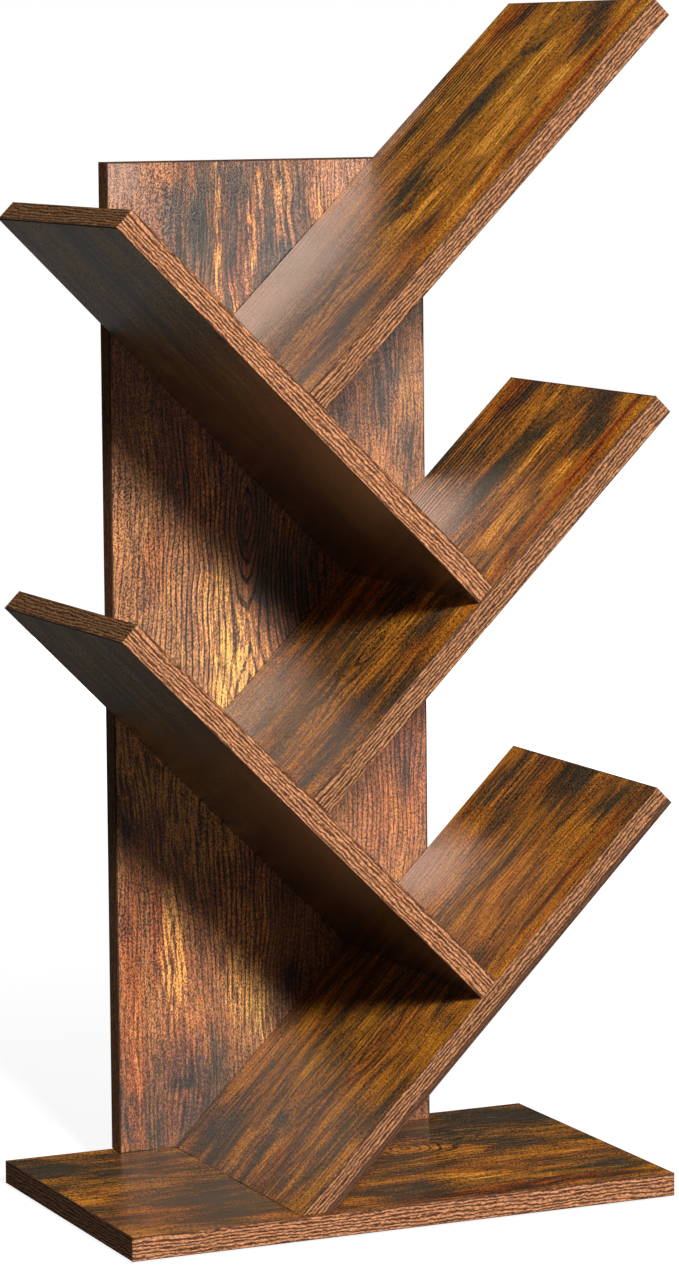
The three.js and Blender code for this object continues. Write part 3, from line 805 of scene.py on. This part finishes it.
sharpAngle = 30  # degrees between faces, above which their edge isn't smoothed


def spun(shape, profile, steps, turns=1, rise=0.0):  # (radius, height) pairs turned about Z
    corners = [shape.verts.new((radius, 0, height)) for radius, height in profile]
    line = corners + [shape.edges.new(pair) for pair in zip(corners, corners[1:])]
    bmesh.ops.spin(
        shape, geom=line, cent=(0, 0, 0), axis=(0, 0, 1), dvec=(0, 0, rise / steps),
        angle=2 * pi * turns, steps=steps * turns, use_merge=rise == 0)


def finishShape(shape, name, place, turn=Matrix()):
    bmesh.ops.remove_doubles(shape, verts=shape.verts, dist=sameCorner)
    bmesh.ops.recalc_face_normals(shape, faces=shape.faces)
    mesh = meshOf(shape, name)
    mesh.transform(Matrix.Translation(place) @ turn)
    mesh.shade_smooth()
    mesh.set_sharp_from_angle(angle=radians(sharpAngle))
    return mesh


def screwBody():
    size = screwShape
    edge, bend = size["head"] - size["rounding"], size["bendShare"] * size["rounding"]
    shape = bmesh.new()
    spun(shape, [
        (edge, 0), (size["head"] - bend, -bend), (size["head"], -size["rounding"]),
        (size["head"], -size["rim"]), (size["collar"], -size["rim"] - size["cone"]),
        (size["collar"], -size["collarEnd"]), (size["core"], -size["collarEnd"] - size["shoulder"]),
        (size["core"], -size["tipStart"]), (size["tip"], -size["tipEnd"]), (0, -size["tipEnd"])],
        size["steps"])
    bmesh.ops.remove_doubles(shape, verts=shape.verts, dist=sameCorner)
    rim = [line for line in shape.edges if line.is_boundary]
    top = bmesh.ops.contextual_create(shape, geom=rim)["faces"][0]
    ring = size["socketRingShare"] * size["socketHalf"]
    bmesh.ops.inset_region(shape, faces=[top], thickness=edge - ring)
    for corner in top.verts:  # the inset ring is moved onto the hexagon of the key
        around = (atan2(corner.co.y, corner.co.x) + pi / 6) % (pi / 3) - pi / 6
        corner.co.xy = corner.co.xy.normalized() * size["socketHalf"] / cos(around)
    floor = bmesh.ops.extrude_discrete_faces(shape, faces=[top])["faces"][0]
    bmesh.ops.translate(shape, verts=floor.verts, vec=(0, 0, -size["socketDepth"]))
    high, low = -size["collarEnd"] - size["threadGap"], size["core"] - size["threadSink"]
    crests = [(size["crest"], high - share * size["pitch"]) for share in size["crestShares"]]
    spun(
        shape, [(low, high), *crests, (low, high - size["pitch"])], size["threadSteps"], size["turns"],
        -size["pitch"])
    return shape


def dowelBody():
    size = dowelShape
    face, end = size["radius"] - size["chamfer"], size["half"] - size["chamfer"]
    shape = bmesh.new()
    spun(shape, [
        (0, -size["half"]), (face, -size["half"]), (size["radius"], -end), (size["radius"], end),
        (face, size["half"]), (0, size["half"])], size["steps"])
    for corner in shape.verts:
        step = round(atan2(corner.co.y, corner.co.x) / (2 * pi) * size["steps"])
        if corner.co.xy.length > face + size["fluteDepth"] and step % size["fluteEvery"] == 0:
            corner.co.xy *= 1 - size["fluteDepth"] / size["radius"]
    return shape


def padBody():
    size = padShape
    shape = bmesh.new()
    bmesh.ops.create_cone(
        shape, cap_ends=True, segments=size["steps"], radius1=size["radius"], radius2=size["radius"],
        depth=size["thick"])
    rims = [line for line in shape.edges if abs(line.verts[0].co.z - line.verts[1].co.z) < sameCorner]
    easeEdges(shape, rims, size["rounding"], size["roundSteps"])
    return shape


def swapSmallPart(name, mesh, material):
    piece = addPiece(name + "_finished", mesh)
    setFinish(piece, material)
    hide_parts(name)


metal, beech, foam = metalMaterial(), beechMaterial(), foamMaterial()
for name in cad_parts:
    low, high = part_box(name)
    middle = (low + high) / 2
    if "screw" in name:
        inShelf = name.startswith("shelf")
        head = Vector((middle.x, high.y, middle.z)) if inShelf else Vector((middle.x, middle.y, low.z))
        turn = Matrix.Rotation(radians(-90 if inShelf else 180), 4, "X")
        swapSmallPart(name, finishShape(screwBody(), name, head, turn), metal)
    elif "dowel" in name:
        lean = -dowelShape["lean"] if middle.x > 0 else dowelShape["lean"]  # left and right in turn
        turn = Matrix.Rotation(radians(lean), 4, "Y")
        swapSmallPart(name, finishShape(dowelBody(), name, middle, turn), beech)
    elif "pad" in name:
        swapSmallPart(name, finishShape(padBody(), name, middle), foam)
print("Small parts made")


# Studio: pale floor, white background, soft lights

studio = {
    "floorSize": 12.0,
    "floorGlow": 0.9,  # what the camera sees of the floor in full shadow beside the object
    "floorPale": 0.3,  # what light adds to it there
    "shadowReach": 0.4,  # metres from the middle, beyond which the floor grows plain white
    "shadowFade": 3,  # how many times as far it is wholly white
    "floorBounce": 0.12,  # how pale the floor is to the boards above it
    "worldFill": 0.025,  # how bright the surroundings are to the object
    "worldMirrored": 0.03,  # and in its gloss, which mirrors a dim studio
}
lights = {  # direction to the light, distance, side length, and how bright a white card facing it gets
    "key": {"towards": (-0.11, -1.0, 0.55), "far": 6.0, "side": 0.84, "level": 1.45},
    "fill": {"towards": (0.62, -0.75, 0.20), "far": 3.0, "side": 1.3, "level": 0.18},
    "back": {"towards": (0.30, 0.95, -0.05), "far": 3.0, "side": 1.3, "level": 0.6},
}


def addLight(name, light, aim):
    data = bpy.data.lights.new(name, "AREA")
    data.shape = "SQUARE"
    data.size = light["side"]
    data.energy = light["level"] * (pi * light["far"]) ** 2
    towards = Vector(light["towards"]).normalized()
    lamp = addObject(name, data)
    lamp.location = aim + towards * light["far"]
    lamp.rotation_euler = towards.to_track_quat("Z", "Y").to_euler()
    lamp.visible_glossy = name != "back"  # the boards mirror only the lights on the camera's side


def pathShare(tree, glossy, other):  # 1 for what is seen directly, and less for what gloss mirrors
    ray = put(tree, "ShaderNodeLightPath", {}).outputs
    seen = calc(tree, "MAXIMUM", ray["Is Camera Ray"], ray["Is Transmission Ray"])
    unseen = put(tree, "ShaderNodeMix", {0: ray["Is Glossy Ray"], 2: other, 3: glossy}).outputs[0]
    return calc(tree, "MAXIMUM", seen, unseen)


def makeFloor():
    shape = bmesh.new()
    bmesh.ops.create_grid(shape, x_segments=1, y_segments=1, size=studio["floorSize"] / 2)
    floor = addObject("floor", meshOf(shape, "floor"))
    material, tree = startMaterial("paleFloor")
    pale, bounce = ((level, level, level, 1) for level in (studio["floorPale"], studio["floorBounce"]))
    seen = put(tree, "ShaderNodeBsdfDiffuse", {"Color": pale})
    far = lengthOf(tree, objectPlace(tree))
    start, end = studio["shadowReach"], studio["shadowFade"] * studio["shadowReach"]
    strength = spread(tree, far, start, end, studio["floorGlow"], 1.0)
    glow = put(tree, "ShaderNodeEmission", {"Color": (1, 1, 1, 1), "Strength": strength})
    lit = put(tree, "ShaderNodeAddShader", {0: seen.outputs[0], 1: glow.outputs[0]})
    dim = put(tree, "ShaderNodeBsdfDiffuse", {"Color": bounce})
    feeds = {0: pathShare(tree, 0.0, 0.0), 1: dim.outputs[0], 2: lit.outputs[0]}
    finishMaterial(tree, put(tree, "ShaderNodeMixShader", feeds))
    setFinish(floor, material)


def makeWorld():
    world = bpy.data.worlds.new("studio")
    bpy.context.scene.world = world
    world.use_nodes = True
    tree = world.node_tree
    tree.nodes.clear()
    strength = pathShare(tree, studio["worldMirrored"], studio["worldFill"])
    sky = put(tree, "ShaderNodeBackground", {"Color": (1, 1, 1, 1), "Strength": strength})
    put(tree, "ShaderNodeOutputWorld", {"Surface": sky.outputs[0]})


placeCamera()
makeFloor()
makeWorld()
for name, light in lights.items():
    addLight(name, light, (cadBox[0] + cadBox[1]) / 2)
bpy.context.scene.view_settings.view_transform = "Standard"
print("Studio made")
